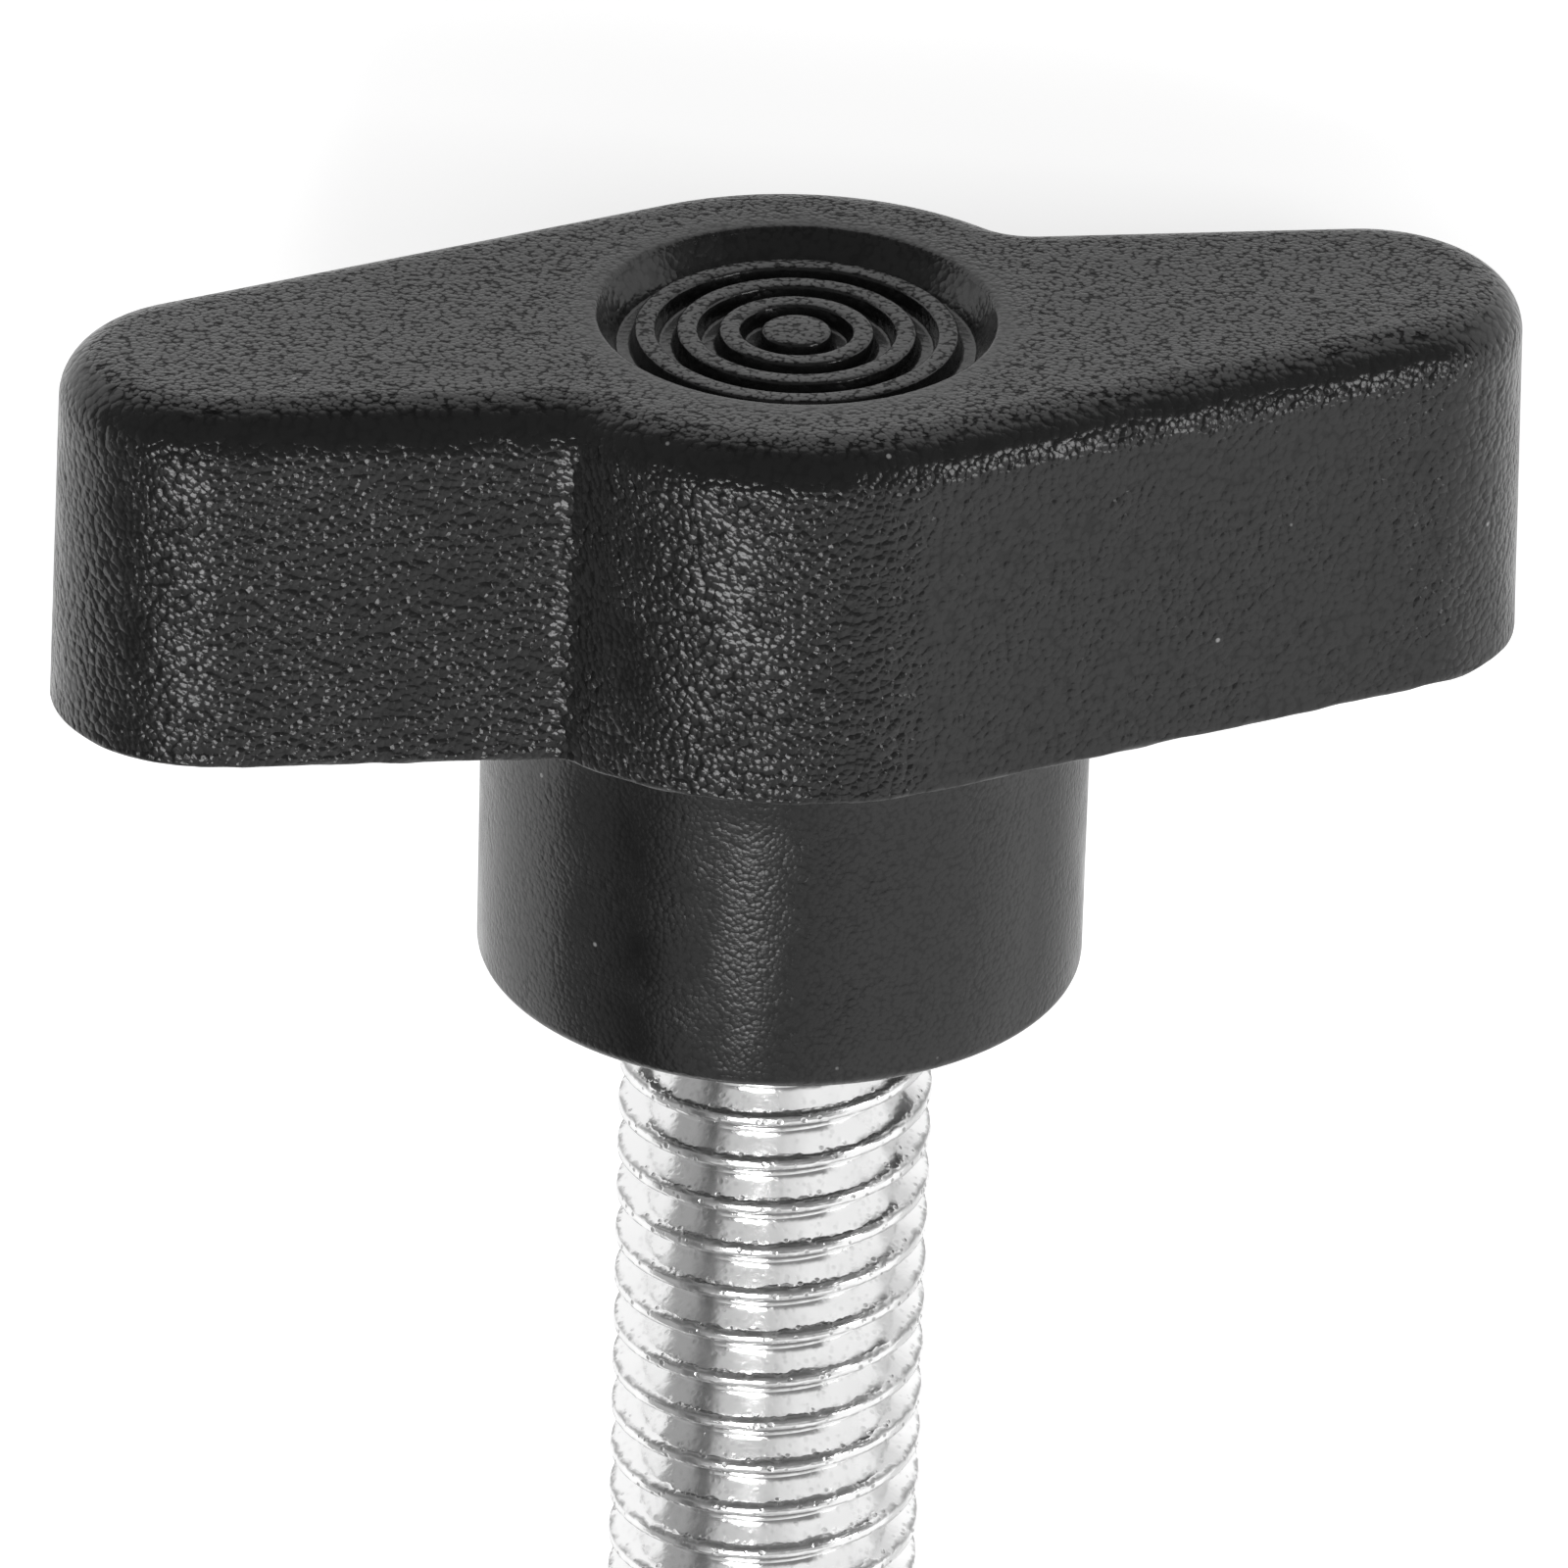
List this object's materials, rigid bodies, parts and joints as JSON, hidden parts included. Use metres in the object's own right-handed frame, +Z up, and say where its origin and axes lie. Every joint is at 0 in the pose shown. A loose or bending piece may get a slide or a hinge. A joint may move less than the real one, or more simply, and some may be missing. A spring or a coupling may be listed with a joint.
{
  "type": "thumb screw",
  "caption": "Thumb screw with a moulded two-winged grip on a round hub, a shallow ringed recess in its top face, and a straight threaded steel stud.",
  "frame": {"origin": "on the surface that the screw lies on, under the middle of its bounding box", "axes": "+Z up. +Y runs along the screw, from the end of the stud to the handle, seen from above; the screw's own axis rises 7 degrees from it, because it lies on the hub's edge and the end of the stud"},
  "size_m": [0.0352, 0.0484, 0.0177],
  "materials": {
    "moulded_black": "spark-eroded grain, glass-filled",
    "zinc_steel": "bright zinc plate, slightly pitted"
  },
  "bodies": {
    "root": {"handle": "moulded_black", "stud": "zinc_steel"}
  },
  "joints": []
}
